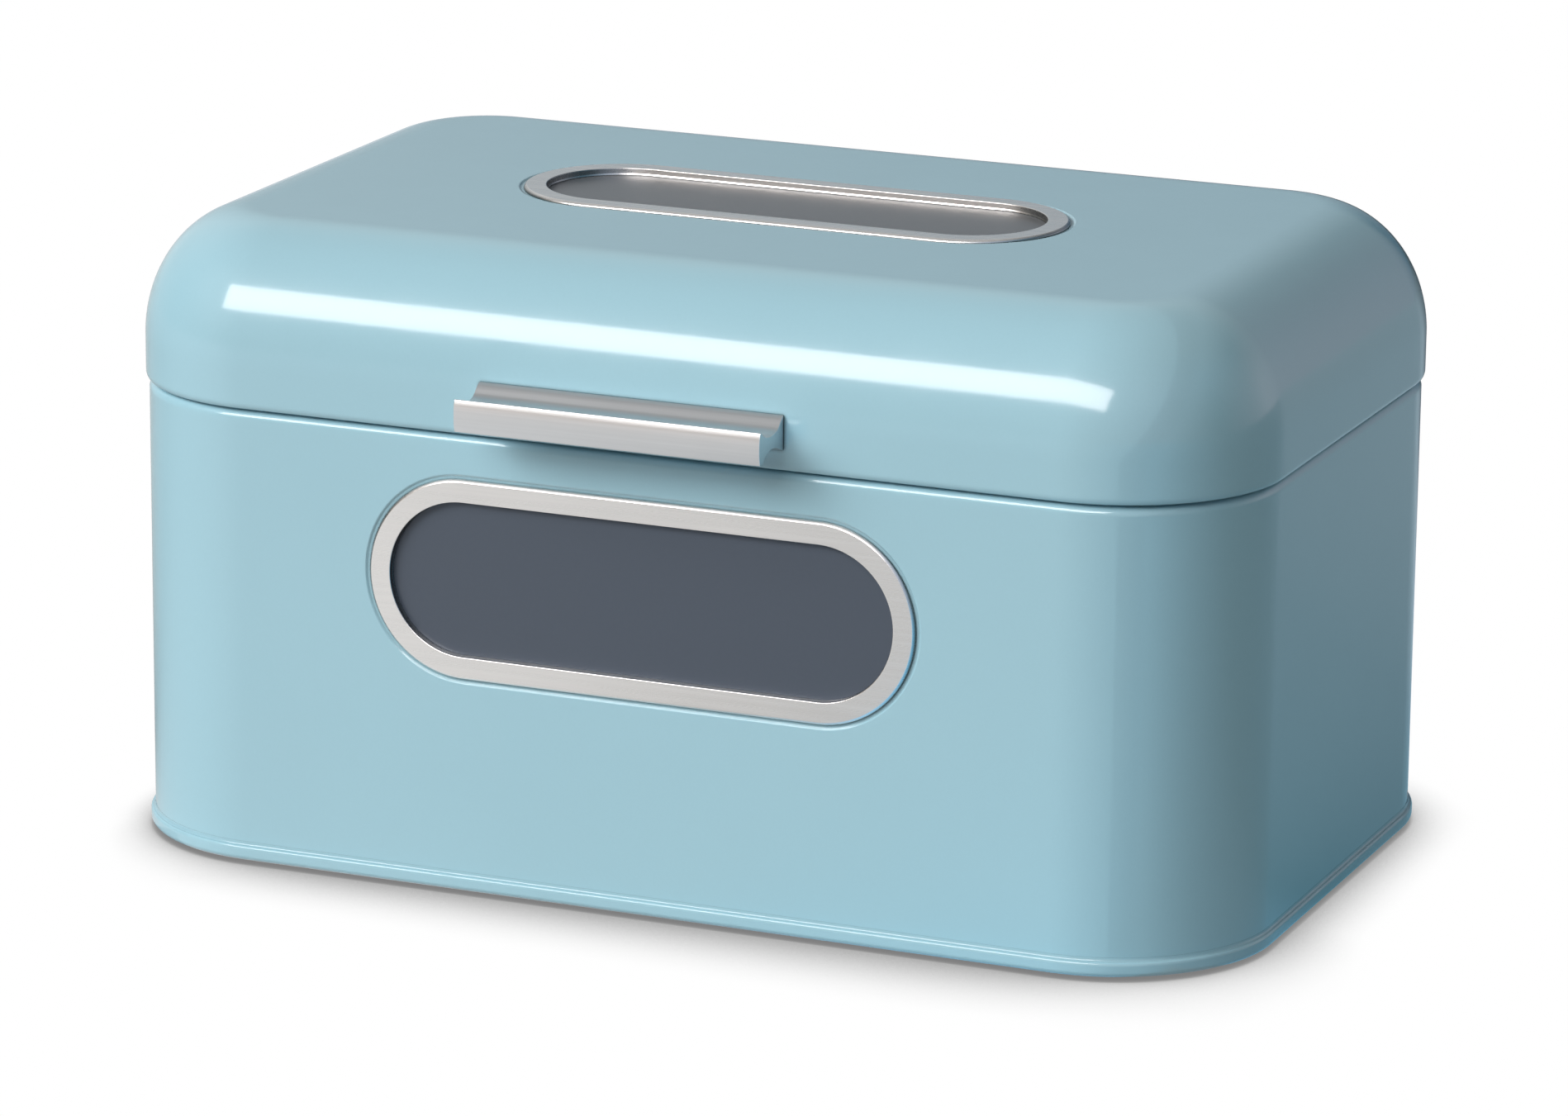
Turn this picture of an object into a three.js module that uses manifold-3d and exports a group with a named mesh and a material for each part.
// Bread bin: pressed sheet-steel bin with a rear-hinged domed lid, a stadium
// window in the front wall and another in the lid, and an aluminium bar handle.
//
// Frame: millimetres, +Z up, +X to the right of a person facing the front,
// the front faces -Y. Origin: centre of the whole bin's footprint, handle and
// hinges included, on the floor. The bin itself is drawn about its own plan
// centre and the top group shifts it along Y.

import * as THREE from 'three';
import { ParametricGeometry } from 'three/addons/geometries/ParametricGeometry.js';
import { mergeVertices } from 'three/addons/utils/BufferGeometryUtils.js';
import Module from 'manifold-3d';

const wasm = await Module();
wasm.setup();

// ---------------------------------------------------------------- dimensions
const SHEET = 0.8;            // sheet thickness of wall, lid and pan
const LID_W = 304;            // lid width, side to side
const LID_D = 190;            // lid depth, front to back
const LID_CORNER_R = 42.7;    // vertical corner radius of the lid, in plan
const TOP_Z = 163.2;          // height of the lid's flat top
const SEAM_Z = 119.3;         // underside of the lid's folded edge
const CROWN_H = 28;           // lid's top rounding, horizontal extent
const CROWN_V = 33;           // lid's top rounding, vertical extent
const LID_HEM_T = 2.0;        // folded lower edge of the lid
const LID_HEM_H = 3.7;

const WALL_INSET = 0.85;      // body wall stands this far inside the lid face
const WALL_W = LID_W - 2 * WALL_INSET;
const WALL_D = LID_D - 2 * WALL_INSET;
const WALL_CORNER_R = LID_CORNER_R - WALL_INSET;
const WALL_BOTTOM = 2.4;      // lower edge of the wall, inside the seamed rim
const SHOULDER_R = 2.6;       // rounded shoulder under the lid
const SHOULDER_Z = 118.9;
const NECK_IN = 3.0;          // neck stands this far inside the wall face
const NECK_TOP = 126;
const NECK_HEM_T = 1.6;
const NECK_HEM_H = 4.5;

const LAP_HALF_W = 5;         // lap seam up the back of the wall
const LAP_PROUD = 0.5;
const LAP_SINK = 0.3;
const LAP_RIM_GAP = 0.4;

const AIR_HOLE_R = 2.2;       // a row of air holes each side of the lap seam
const AIR_HOLE_COUNT = 4;
const AIR_HOLE_FIRST_X = 18;
const AIR_HOLE_PITCH = 10;
const AIR_HOLE_Z = 102;

const RIM_Z0 = 1.1;           // underside of the seamed rim
const RIM_Z1 = 5.9;           // top of the seamed rim
const RIM_OUT = 1.2;          // rim stands this far outside the wall face
const PAN_Z = 4.2;            // upper face of the pan floor

const FOOT_R = 7;
const FOOT_X = 112;
const FOOT_Y = 60;
const FOOT_TOP_GAP = 0.1;     // foot top to underside of the pan

const WIN_HALF_L = 47.6;      // windows: half length of the straight part
const BEZEL_OUTER_R = 25.7;
const BEZEL_OPENING_R = 19.88;
const BEZEL_PROUD = 0.6;      // bezel face above the sheet
const RECESS = 0.4;           // pressed recess the bezel sits in
const RECESS_R = 26.9;
const WIN_HOLE_R = 21.2;      // hole in the sheet
const PANE_R = 24.5;
const PANE_T = 1.5;
const PANE_GAP = 0.1;         // pane to back of the sheet
const FRONT_WIN_Z = 81.9;     // centre height of the front window
const TOP_WIN_X = 1.05;       // centre of the lid window
const TOP_WIN_Y = 1.0;

const HANDLE_L = 81.2;
const HANDLE_X = -2.0;
const HANDLE_TOP = 132.05;    // top edge of the handle's front lip
const HANDLE_REACH = 14.9;    // top edge of the front lip to lid face
const HANDLE_BULGE = 0.15;    // front lip bows this far ahead of that
const HANDLE_GAP = 0.1;       // back flange to lid face
const HANDLE_BORE_R = 1.6;
const HANDLE_BORE_DEPTH = 5.6; // from the lid face
const SCREW_DX = 27;          // screws, either side of the handle's centre
const SCREW_Z = HANDLE_TOP - 3.95;
const SCREW_HOLE_R = 1.75;    // hole in the lid
const SLOT_HALF_L = 1.5;      // cross slot in the screw head
const SLOT_HALF_W = 0.28;
const SLOT_FLOOR = 2.1;

const HINGE_X = 80;           // hinge centres, left and right
const HINGE_HALF = 19;        // half width of a hinge
const LEAF_T = 0.8;
const LEAF_GAP = 0.3;         // leaf to the sheet it is riveted to
const LEAF_CORNER_R = 3;
const PIVOT_Y = 96.35;        // hinge axis
const PIVOT_Z = 116.3;
const BARREL_R = 1.9;
const PIN_R = 0.9;
const PIN_CLEAR = 0.09;
const KNUCKLE_HALF = 8.7;     // half width of the lid leaf's middle knuckle
const KNUCKLE_GAP = 0.25;     // between neighbouring knuckles
const STOP_TAIL = 3.9;        // reach of the tail that stops the lid open
const LID_LEAF_TOP = 131.5;
const RIVET_DX = 11;          // rivets, either side of the hinge's centre
const RIVET_BODY_Z = 105;
const RIVET_LID_Z = 126;
const RIVET_R = 1.5;
const RIVET_HOLE_R = RIVET_R + 0.15;
const RIVET_GRIP = LEAF_GAP + SHEET + LEAF_T;

// plan centre of the shell to centre of the footprint
const FRONT_REACH = LID_D / 2 + HANDLE_REACH + HANDLE_BULGE;
const BACK_REACH = PIVOT_Y + STOP_TAIL;
const ORIGIN_SHIFT_Y = (FRONT_REACH - BACK_REACH) / 2;

const CORNER_SEGS = 7;
const END_SEGS = 11;
const HOLE_SEGS = 12;
const BARREL_SEGS = 16;
const LEAF_CORNER_SEGS = 4;

// Y spans of cutters that pass right through one wall
const BACK_SPAN = [80, 100];
const FRONT_SPAN = [-100, -80];
const LEAF_SPAN = [-6, 6];    // from the pivot

const SIDES = [['left', -1], ['right', 1]];

// ---------------------------------------------------------------- materials
const finish = (settings) => () => new THREE.MeshStandardMaterial(settings);
const enamel = finish({ color: 0x9fc4cf, roughness: 0.22, metalness: 0 });
const stainless = finish({ color: 0xcfcdc9, roughness: 0.35, metalness: 1 });
const aluminium = finish({ color: 0xc6c7c9, roughness: 0.42, metalness: 1 });
const acrylic = finish({
  color: 0x59626c, roughness: 0.08, metalness: 0, transparent: true, opacity: 0.6,
});
const zinc = finish({ color: 0xa9abad, roughness: 0.4, metalness: 1 });
const rubber = finish({ color: 0x2b2c2e, roughness: 0.85, metalness: 0 });

// ---------------------------------------------------------------- solids
// A closed three.js geometry as a solid: one shared vertex per point, faces out.
function solid(geometry) {
  for (const key of Object.keys(geometry.attributes)) {
    if (key !== 'position') geometry.deleteAttribute(key);
  }
  const merged = mergeVertices(geometry, 1e-4);
  const positions = merged.attributes.position;
  const index = merged.index.array;
  const corner = (i) => new THREE.Vector3().fromBufferAttribute(positions, i);
  const triangles = [];
  let volume = 0;
  for (let i = 0; i < index.length; i += 3) {
    const [a, b, c] = index.slice(i, i + 3);
    if (a === b || b === c || a === c) continue;
    triangles.push(a, b, c);
    volume += corner(a).dot(corner(b).cross(corner(c)));
  }
  if (volume < 0) {
    for (let i = 0; i < triangles.length; i += 3) {
      [triangles[i + 1], triangles[i + 2]] = [triangles[i + 2], triangles[i + 1]];
    }
  }
  return new wasm.Manifold(new wasm.Mesh({
    numProp: 3,
    vertProperties: new Float32Array(positions.array),
    triVerts: new Uint32Array(triangles),
  }));
}

function toGeometry(manifold) {
  const mesh = manifold.getMesh();
  const geometry = new THREE.BufferGeometry();
  const positions = new Float32Array(mesh.vertProperties);
  geometry.setAttribute('position', new THREE.BufferAttribute(positions, 3));
  geometry.setIndex(new THREE.BufferAttribute(new Uint32Array(mesh.triVerts), 1));
  geometry.computeVertexNormals();
  return geometry;
}

function box(x0, x1, y0, y1, z0, z1) {
  const geometry = new THREE.BoxGeometry(x1 - x0, y1 - y0, z1 - z0);
  geometry.translate((x0 + x1) / 2, (y0 + y1) / 2, (z0 + z1) / 2);
  return solid(geometry);
}

// Cylinder on the X axis.
function rodX(radius, x0, x1) {
  const geometry = new THREE.CylinderGeometry(radius, radius, x1 - x0, BARREL_SEGS);
  geometry.rotateZ(-Math.PI / 2);
  geometry.translate((x0 + x1) / 2, 0, 0);
  return solid(geometry);
}

// Cuts a round hole along Y.
function drill(part, radius, [y0, y1], x, z) {
  const geometry = new THREE.CylinderGeometry(radius, radius, y1 - y0, HOLE_SEGS);
  geometry.translate(x, (y0 + y1) / 2, z);
  return part.subtract(solid(geometry));
}

// Points [radius, y] revolved about Y.
const lathe = (points, segments) =>
  new THREE.LatheGeometry(points.map(([r, y]) => new THREE.Vector2(r, y)), segments);

const plate = (shape, z0, z1, curveSegments = END_SEGS) =>
  new THREE.ExtrudeGeometry(shape, { depth: z1 - z0, bevelEnabled: false, curveSegments })
    .translate(0, 0, z0);

// ---------------------------------------------------------------- outlines
// Stations round a closed outline are [x, y, normal x, normal y].
function roundedRectStations(width, depth, radius) {
  const stations = [];
  const x = width / 2 - radius;
  const y = depth / 2 - radius;
  for (const [cx, cy, start] of [[x, y, 0], [-x, y, 90], [-x, -y, 180], [x, -y, 270]]) {
    for (let i = 0; i <= CORNER_SEGS; i++) {
      const angle = THREE.MathUtils.degToRad(start + (90 * i) / CORNER_SEGS);
      const nx = Math.cos(angle);
      const ny = Math.sin(angle);
      stations.push([cx + radius * nx, cy + radius * ny, nx, ny]);
    }
  }
  return stations;
}

// The stadium's stations lie on its core points, the centres of its two ends.
function stadiumStations() {
  const stations = [];
  for (const side of [1, -1]) {
    for (let i = 0; i <= END_SEGS; i++) {
      const angle = -side * Math.PI / 2 + (Math.PI * i) / END_SEGS;
      stations.push([side * WIN_HALF_L, 0, Math.cos(angle), Math.sin(angle)]);
    }
  }
  return stations;
}

// A closed profile [[offset, height], ...] swept round closed stations.
function ring(profile, stations) {
  const stationCount = stations.length;
  const pointCount = profile.length;
  return new ParametricGeometry((u, v, target) => {
    const [x, y, nx, ny] = stations[Math.round(u * stationCount) % stationCount];
    const [offset, height] = profile[Math.round(v * pointCount) % pointCount];
    target.set(x + offset * nx, y + offset * ny, height);
  }, stationCount, pointCount);
}

function roundedRectShape(width, depth, radius) {
  const shape = new THREE.Shape();
  const x = width / 2;
  const y = depth / 2;
  shape.moveTo(x, -y + radius);
  shape.lineTo(x, y - radius);
  shape.absarc(x - radius, y - radius, radius, 0, Math.PI / 2, false);
  shape.lineTo(-x + radius, y);
  shape.absarc(-x + radius, y - radius, radius, Math.PI / 2, Math.PI, false);
  shape.lineTo(-x, -y + radius);
  shape.absarc(-x + radius, -y + radius, radius, Math.PI, 1.5 * Math.PI, false);
  shape.lineTo(x - radius, -y);
  shape.absarc(x - radius, -y + radius, radius, 1.5 * Math.PI, 2 * Math.PI, false);
  return shape;
}

function stadiumShape(radius) {
  const shape = new THREE.Shape();
  shape.moveTo(-WIN_HALF_L, -radius);
  shape.lineTo(WIN_HALF_L, -radius);
  shape.absarc(WIN_HALF_L, 0, radius, -Math.PI / 2, Math.PI / 2, false);
  shape.lineTo(-WIN_HALF_L, radius);
  shape.absarc(-WIN_HALF_L, 0, radius, Math.PI / 2, 1.5 * Math.PI, false);
  return shape;
}

// Flat plate that fills a rounded rectangle set in from the given one.
const insetPlate = (width, depth, radius, inset, z0, z1) => solid(plate(
  roundedRectShape(width - 2 * inset, depth - 2 * inset, radius - inset), z0, z1, CORNER_SEGS));

// Points on an elliptical arc; angles in degrees.
function arcPoints(cx, cy, rx, ry, from, to, segments) {
  const points = [];
  for (let i = 0; i <= segments; i++) {
    const angle = THREE.MathUtils.degToRad(from + ((to - from) * i) / segments);
    points.push([cx + rx * Math.cos(angle), cy + ry * Math.sin(angle)]);
  }
  return points;
}

// ---------------------------------------------------------------- groups
const group = new THREE.Group();
group.name = 'bread_bin';
group.position.y = ORIGIN_SHIFT_Y;
const body = new THREE.Group();
const lid = new THREE.Group();
group.add(body, lid);

function put(parent, name, part, material, position = [0, 0, 0]) {
  const mesh = new THREE.Mesh(toGeometry(part), material);
  mesh.name = name;
  mesh.position.set(...position);
  parent.add(mesh);
}

// ---------------------------------------------------------------- windows
// A window's local frame is the stadium in XY with +Z pointing out of the
// sheet, zero at the sheet's outer face. These matrices place it on the front
// wall (out = -Y) and on the lid (out = +Z).
const FRONT_WIN = new THREE.Matrix4().makeRotationX(Math.PI / 2)
  .setPosition(0, -WALL_D / 2, FRONT_WIN_Z);
const TOP_WIN = new THREE.Matrix4().setPosition(TOP_WIN_X, TOP_WIN_Y, TOP_Z);

// Presses the recess into a sheet and cuts the hole in it.
function pressWindow(shell, place) {
  const stadium = (radius, z0, z1) =>
    solid(plate(stadiumShape(radius), z0, z1).applyMatrix4(place));
  return shell
    .add(stadium(RECESS_R + SHEET, -SHEET - RECESS, -SHEET / 2))
    .subtract(stadium(RECESS_R, -RECESS, 4))
    .subtract(stadium(WIN_HOLE_R, -4, 2));
}

// Each window: an outer bezel whose collar enters the hole, a flat pane behind
// the sheet, and a stepped retaining ring at the back of the sheet.
function addWindow(parent, prefix, place) {
  const back = -RECESS - SHEET;                   // back face of the sheet
  const outer = BEZEL_OUTER_R;
  const inner = BEZEL_OPENING_R;
  // profiles: [distance from the core line, height out of the sheet]
  const bezelProfile = [
    [outer, -RECESS + 0.1], [outer, 0], [outer - 0.13, 0.18],
    [outer - 0.84, BEZEL_PROUD - 0.06], [outer - 1.1, BEZEL_PROUD],
    [inner + 0.3, BEZEL_PROUD], [inner + 0.08, BEZEL_PROUD - 0.1], [inner, BEZEL_PROUD - 0.3],
    [inner, back + 0.05], [inner + 0.6, back + 0.05],
    [inner + 0.6, -0.2], [inner + 0.75, -0.05],
    [outer - 1.4, -0.05], [outer - 0.75, -0.15], [outer - 0.6, -RECESS + 0.1],
  ];
  const retainerProfile = [
    [RECESS_R - 0.2, back - 0.1], [PANE_R + 0.4, back - 0.1],
    [PANE_R + 0.4, back - 0.2 - PANE_T], [WIN_HOLE_R + 0.2, back - 0.2 - PANE_T],
    [WIN_HOLE_R + 0.2, back - 1.0 - PANE_T], [PANE_R + 1.2, back - 1.0 - PANE_T],
    [PANE_R + 1.2, back - 0.9], [RECESS_R - 0.2, back - 0.9],
  ];
  const pane = plate(stadiumShape(PANE_R), back - PANE_GAP - PANE_T, back - PANE_GAP);
  const pieces = [
    ['bezel', ring(bezelProfile, stadiumStations()), stainless],
    ['pane', pane, acrylic],
    ['retainer', ring(retainerProfile, stadiumStations()), zinc],
  ];
  for (const [name, geometry, material] of pieces) {
    put(parent, `${prefix}_window_${name}`, solid(geometry.applyMatrix4(place)), material());
  }
}

// ---------------------------------------------------------------- body wall
// One wrapped sheet: straight wall, rounded shoulder, neck that enters the lid,
// and a hem folded inwards along the mouth.
function bodyWall() {
  const neck = -NECK_IN;
  const hem = neck - NECK_HEM_T;
  const arcZ = SHOULDER_Z - SHOULDER_R;
  const innerR = SHOULDER_R - SHEET;
  // [offset outwards from the wall face, height]
  const profile = [
    [0, WALL_BOTTOM],
    ...arcPoints(-SHOULDER_R, arcZ, SHOULDER_R, SHOULDER_R, 0, 90, 4),
    [neck + 0.1, SHOULDER_Z + 0.12],
    [neck, SHOULDER_Z + 0.5],
    [neck, NECK_TOP - 0.8],
    [neck - 0.25, NECK_TOP - 0.2],
    [neck - NECK_HEM_T / 2, NECK_TOP],
    [hem + 0.25, NECK_TOP - 0.2],
    [hem, NECK_TOP - 0.8],
    [hem, NECK_TOP - NECK_HEM_H],
    [neck - SHEET, NECK_TOP - NECK_HEM_H],
    [neck - SHEET, SHOULDER_Z],
    [neck - SHEET + 0.35, SHOULDER_Z - SHEET],
    ...arcPoints(-SHOULDER_R, arcZ, innerR, innerR, 80, 0, 2),
    [-SHEET, WALL_BOTTOM],
  ];
  let wall = solid(ring(profile, roundedRectStations(WALL_W, WALL_D, WALL_CORNER_R)));
  // lap seam that closes the wrapped sheet
  wall = wall.add(box(-LAP_HALF_W, LAP_HALF_W, WALL_D / 2 - LAP_SINK, WALL_D / 2 + LAP_PROUD,
    RIM_Z1 + LAP_RIM_GAP, arcZ));
  wall = pressWindow(wall, FRONT_WIN);
  for (const side of [-1, 1]) {
    for (const end of [-1, 1]) {
      const x = side * HINGE_X + end * RIVET_DX;
      wall = drill(wall, RIVET_HOLE_R, BACK_SPAN, x, RIVET_BODY_Z);
    }
    for (let i = 0; i < AIR_HOLE_COUNT; i++) {
      const x = side * (AIR_HOLE_FIRST_X + AIR_HOLE_PITCH * i);
      wall = drill(wall, AIR_HOLE_R, BACK_SPAN, x, AIR_HOLE_Z);
    }
  }
  return wall;
}

// ---------------------------------------------------------------- base pan
// Pan floor, dished inside a seamed rim that folds round the wall's lower edge.
function basePan() {
  const out = RIM_OUT;
  const slot = 0.05;          // inner face of the rim's outer fold
  const inner = -1.1;         // inner fold, against the inside of the wall
  const under = PAN_Z - SHEET;
  // [offset outwards from the wall face, height]
  const profile = [
    [-12, PAN_Z], [-2.2, PAN_Z], [-1.5, PAN_Z - 0.15], [inner, PAN_Z - 0.6],
    [inner, 1.9], [slot, 1.9], [slot, RIM_Z1],
    [slot + 0.05, RIM_Z1 - 0.4], [slot + 0.17, RIM_Z1 - 0.73],
    [out - 0.58, RIM_Z1 - 1.02], [out - 0.17, RIM_Z1 - 1.31], [out, RIM_Z1 - 2.0],
    [out, RIM_Z0 + 1.5], [out - 0.38, RIM_Z0 + 0.44], [out - 1.2, RIM_Z0],
    [-1.4, RIM_Z0], [-1.9, RIM_Z0 + 0.5],
    [-1.9, under - 0.4], [-2.3, under], [-12, under],
  ];
  return solid(ring(profile, roundedRectStations(WALL_W, WALL_D, WALL_CORNER_R)))
    .add(insetPlate(WALL_W, WALL_D, WALL_CORNER_R, 11, under, PAN_Z));
}

// ---------------------------------------------------------------- feet
function foot() {
  const top = PAN_Z - SHEET - FOOT_TOP_GAP;
  const profile = [[0, 0], [FOOT_R - 0.6, 0], [FOOT_R, 0.5], [FOOT_R, top], [0, top]];
  return solid(lathe(profile, 18).rotateX(Math.PI / 2));
}

function addFeet() {
  for (const [end, y] of [['front', -FOOT_Y], ['rear', FOOT_Y]]) {
    for (const [side, sign] of SIDES) {
      put(body, `foot_${end}_${side}`, foot(), rubber(), [sign * FOOT_X, y, 0]);
    }
  }
}

// ---------------------------------------------------------------- lid shell
function lidShell() {
  const crownX = -CROWN_H;
  const crownZ = TOP_Z - CROWN_V;
  const hemTop = SEAM_Z + LID_HEM_H;
  // [offset outwards from the lid face, height]
  const profile = [
    [crownX - 4, TOP_Z],
    ...arcPoints(crownX, crownZ, CROWN_H, CROWN_V, 90, 0, 8),
    [0, SEAM_Z + 1.8], [-0.13, SEAM_Z + 0.9], [-0.5, SEAM_Z + 0.24], [-LID_HEM_T / 2, SEAM_Z],
    [-LID_HEM_T + 0.3, SEAM_Z + 0.2], [-LID_HEM_T, SEAM_Z + 0.8],
    [-LID_HEM_T, hemTop], [-SHEET, hemTop],
    ...arcPoints(crownX, crownZ, CROWN_H - SHEET, CROWN_V - SHEET, 0, 90, 7),
    [crownX - 4, TOP_Z - SHEET],
  ];
  let shell = solid(ring(profile, roundedRectStations(LID_W, LID_D, LID_CORNER_R)))
    .add(insetPlate(LID_W, LID_D, LID_CORNER_R, CROWN_H + 3, TOP_Z - SHEET, TOP_Z));
  shell = pressWindow(shell, TOP_WIN);
  for (const end of [-1, 1]) {
    shell = drill(shell, SCREW_HOLE_R, FRONT_SPAN, HANDLE_X + end * SCREW_DX, SCREW_Z);
    for (const side of [-1, 1]) {
      const x = side * HINGE_X + end * RIVET_DX;
      shell = drill(shell, RIVET_HOLE_R, BACK_SPAN, x, RIVET_LID_Z);
    }
  }
  return shell;
}

// ---------------------------------------------------------------- handle
// Waisted aluminium extrusion: front lip, thin web, back flange on the lid face.
function handleBar() {
  const back = HANDLE_REACH - HANDLE_GAP;
  const front = -HANDLE_BULGE;
  // Section as [depth behind the lip's top edge, height from it]: a pair is a
  // line's end, three pairs are a Bezier's two control points and its end.
  const section = [
    [1.05, -0.05],
    [1.9, -0.6, 2.9, -1.75, 5.3, -2.1],
    [7.4, -2.4, 9.6, -2.25, 11.1, -1.45],
    [12.3, -0.8, 13.1, 0.55, back, 1.3],
    [back, -7.5],
    [13.1, -7.2, 11.4, -5.75, 8.4, -5.6],
    [5.9, -5.55, 4.3, -6.1, 3.2, -6.9],
    [2.4, -7.5, 1.9, -8.1, 1.3, -8.2],
    [0.45, -8.2],
    [-0.05, -7.0, front, -5.6, front, -4.1],
    [front, -2.6, -0.05, -1.2, 0.45, 0],
  ];
  const shape = new THREE.Shape();
  shape.moveTo(0.45, 0);
  for (const row of section) {
    if (row.length === 2) shape.lineTo(...row);
    else shape.bezierCurveTo(...row);
  }
  // section X -> +Y, section Y -> +Z, extrusion -> +X
  const place = new THREE.Matrix4().set(
    0, 0, 1, HANDLE_X - HANDLE_L / 2,
    1, 0, 0, -LID_D / 2 - HANDLE_REACH,
    0, 1, 0, HANDLE_TOP,
    0, 0, 0, 1);
  let bar = solid(plate(shape, 0, HANDLE_L, 6).applyMatrix4(place));
  const boreSpan = [-LID_D / 2 - HANDLE_BORE_DEPTH, -LID_D / 2 + 2];
  for (const end of [-1, 1]) {
    bar = drill(bar, HANDLE_BORE_R, boreSpan, HANDLE_X + end * SCREW_DX, SCREW_Z);
  }
  return bar;
}

// Washer and screw are [radius, distance inwards from the lid's inner face].
const washer = () =>
  solid(lathe([[1.7, 0.2], [3.5, 0.2], [3.5, 1.0], [1.7, 1.0], [1.7, 0.2]], 16));

function screw() {
  return solid(lathe([
    [0, -5.3], [1.0, -5.3], [1.45, -4.8], [1.45, 1.1],
    [2.9, 1.1], [2.9, 1.9], [2.0, 2.9], [0, 3.2],
  ], 14))
    .subtract(box(-SLOT_HALF_L, SLOT_HALF_L, SLOT_FLOOR, 4, -SLOT_HALF_W, SLOT_HALF_W))
    .subtract(box(-SLOT_HALF_W, SLOT_HALF_W, SLOT_FLOOR, 4, -SLOT_HALF_L, SLOT_HALF_L));
}

function addHandle() {
  put(lid, 'handle_bar', handleBar(), aluminium());
  for (const [side, sign] of SIDES) {
    const position = [HANDLE_X + sign * SCREW_DX, -LID_D / 2 + SHEET, SCREW_Z];
    put(lid, 'handle_washer_' + side, washer(), zinc(), position);
    put(lid, 'handle_screw_' + side, screw(), zinc(), position);
  }
}

// ---------------------------------------------------------------- hinges
// Two riveted butt hinges on the back. Local frame: X from the hinge's centre,
// Y and Z from the pivot.
const BODY_LEAF_Y = WALL_D / 2 + LEAF_GAP - PIVOT_Y;   // front face of each leaf
const LID_LEAF_Y = LID_D / 2 + LEAF_GAP - PIVOT_Y;

function leafPlate(y, z0, z1) {
  const shape = roundedRectShape(2 * HINGE_HALF, z1 - z0, LEAF_CORNER_R);
  // plate Y -> Z, plate Z -> Y
  const place = new THREE.Matrix4().set(
    1, 0, 0, 0,
    0, 0, 1, 0,
    0, 1, 0, (z0 + z1) / 2,
    0, 0, 0, 1);
  return solid(plate(shape, y, y + LEAF_T, LEAF_CORNER_SEGS).applyMatrix4(place));
}

// Bores a leaf for the pin and drills its two rivet holes.
function boreLeaf(leaf, rivetZ) {
  let bored = leaf.subtract(rodX(PIN_R + PIN_CLEAR, -HINGE_HALF - 1, HINGE_HALF + 1));
  for (const end of [-1, 1]) {
    bored = drill(bored, RIVET_HOLE_R, LEAF_SPAN, end * RIVET_DX, rivetZ - PIVOT_Z);
  }
  return bored;
}

// Flat on the wall, a knuckle at each end.
function bodyLeaf() {
  const y = BODY_LEAF_Y;
  const inner = KNUCKLE_HALF + KNUCKLE_GAP;
  let leaf = leafPlate(y, -21, -2.5);
  for (const [x0, x1] of [[-HINGE_HALF, -inner], [inner, HINGE_HALF]]) {
    leaf = leaf
      .add(box(x0, x1, y, y + LEAF_T, -6, 0))
      .add(rodX(BARREL_R, x0, x1));
  }
  return boreLeaf(leaf, RIVET_BODY_Z);
}

// Flat on the lid's back face, one middle knuckle with a stop tail.
function lidLeaf() {
  const y = LID_LEAF_Y;
  const half = KNUCKLE_HALF;
  const low = SEAM_Z + 0.6 - PIVOT_Z;
  const leaf = leafPlate(y, low, LID_LEAF_TOP - PIVOT_Z)
    .add(box(-half, half, y, y + LEAF_T, 0.4, low + 3))
    .add(rodX(BARREL_R, -half, half))
    .add(box(-half, half, 0.9, STOP_TAIL, -LEAF_T / 2, LEAF_T / 2));
  return boreLeaf(leaf, RIVET_LID_Z);
}

// Pin with a head at each end, just clear of the end knuckles.
function hingePin() {
  const headR = 1.6;
  const end = HINGE_HALF + 1.0;
  const neck = HINGE_HALF + 0.25;
  return solid(lathe([
    [0, -end], [headR, -end], [headR, -neck], [PIN_R, -neck],
    [PIN_R, neck], [headR, neck], [headR, end], [0, end],
  ], 16).rotateZ(-Math.PI / 2));
}

// Domed head outside (+Y), flatter upset head inside; Y from the leaf's outer face.
function rivet() {
  const inside = -RIVET_GRIP;
  return solid(lathe([
    [0, inside - 0.9], [2.6, inside - 0.8], [2.6, inside - 0.1], [RIVET_R, inside - 0.1],
    [RIVET_R, 0.1], [3.1, 0.1], [2.6, 0.85], [0, 1.35],
  ], 12));
}

function addHinges() {
  for (const [side, sign] of SIDES) {
    const x = sign * HINGE_X;
    const pivot = [x, PIVOT_Y, PIVOT_Z];
    put(body, 'hinge_body_leaf_' + side, bodyLeaf(), zinc(), pivot);
    put(lid, 'hinge_lid_leaf_' + side, lidLeaf(), zinc(), pivot);
    put(body, 'hinge_pin_' + side, hingePin(), zinc(), pivot);
    for (const [where, outward] of [['outer', 1], ['inner', -1]]) {
      const rivetX = x + sign * outward * RIVET_DX;
      put(body, `body_rivet_${side}_${where}`, rivet(), zinc(),
        [rivetX, PIVOT_Y + BODY_LEAF_Y + LEAF_T, RIVET_BODY_Z]);
      put(lid, `lid_rivet_${side}_${where}`, rivet(), zinc(),
        [rivetX, PIVOT_Y + LID_LEAF_Y + LEAF_T, RIVET_LID_Z]);
    }
  }
}

// ---------------------------------------------------------------- assembly
put(body, 'body_wall', bodyWall(), enamel());
put(body, 'base_pan', basePan(), enamel());
addFeet();
addWindow(body, 'front', FRONT_WIN);
addWindow(lid, 'top', TOP_WIN);
put(lid, 'lid_shell', lidShell(), enamel());
addHandle();
addHinges();

export default group;
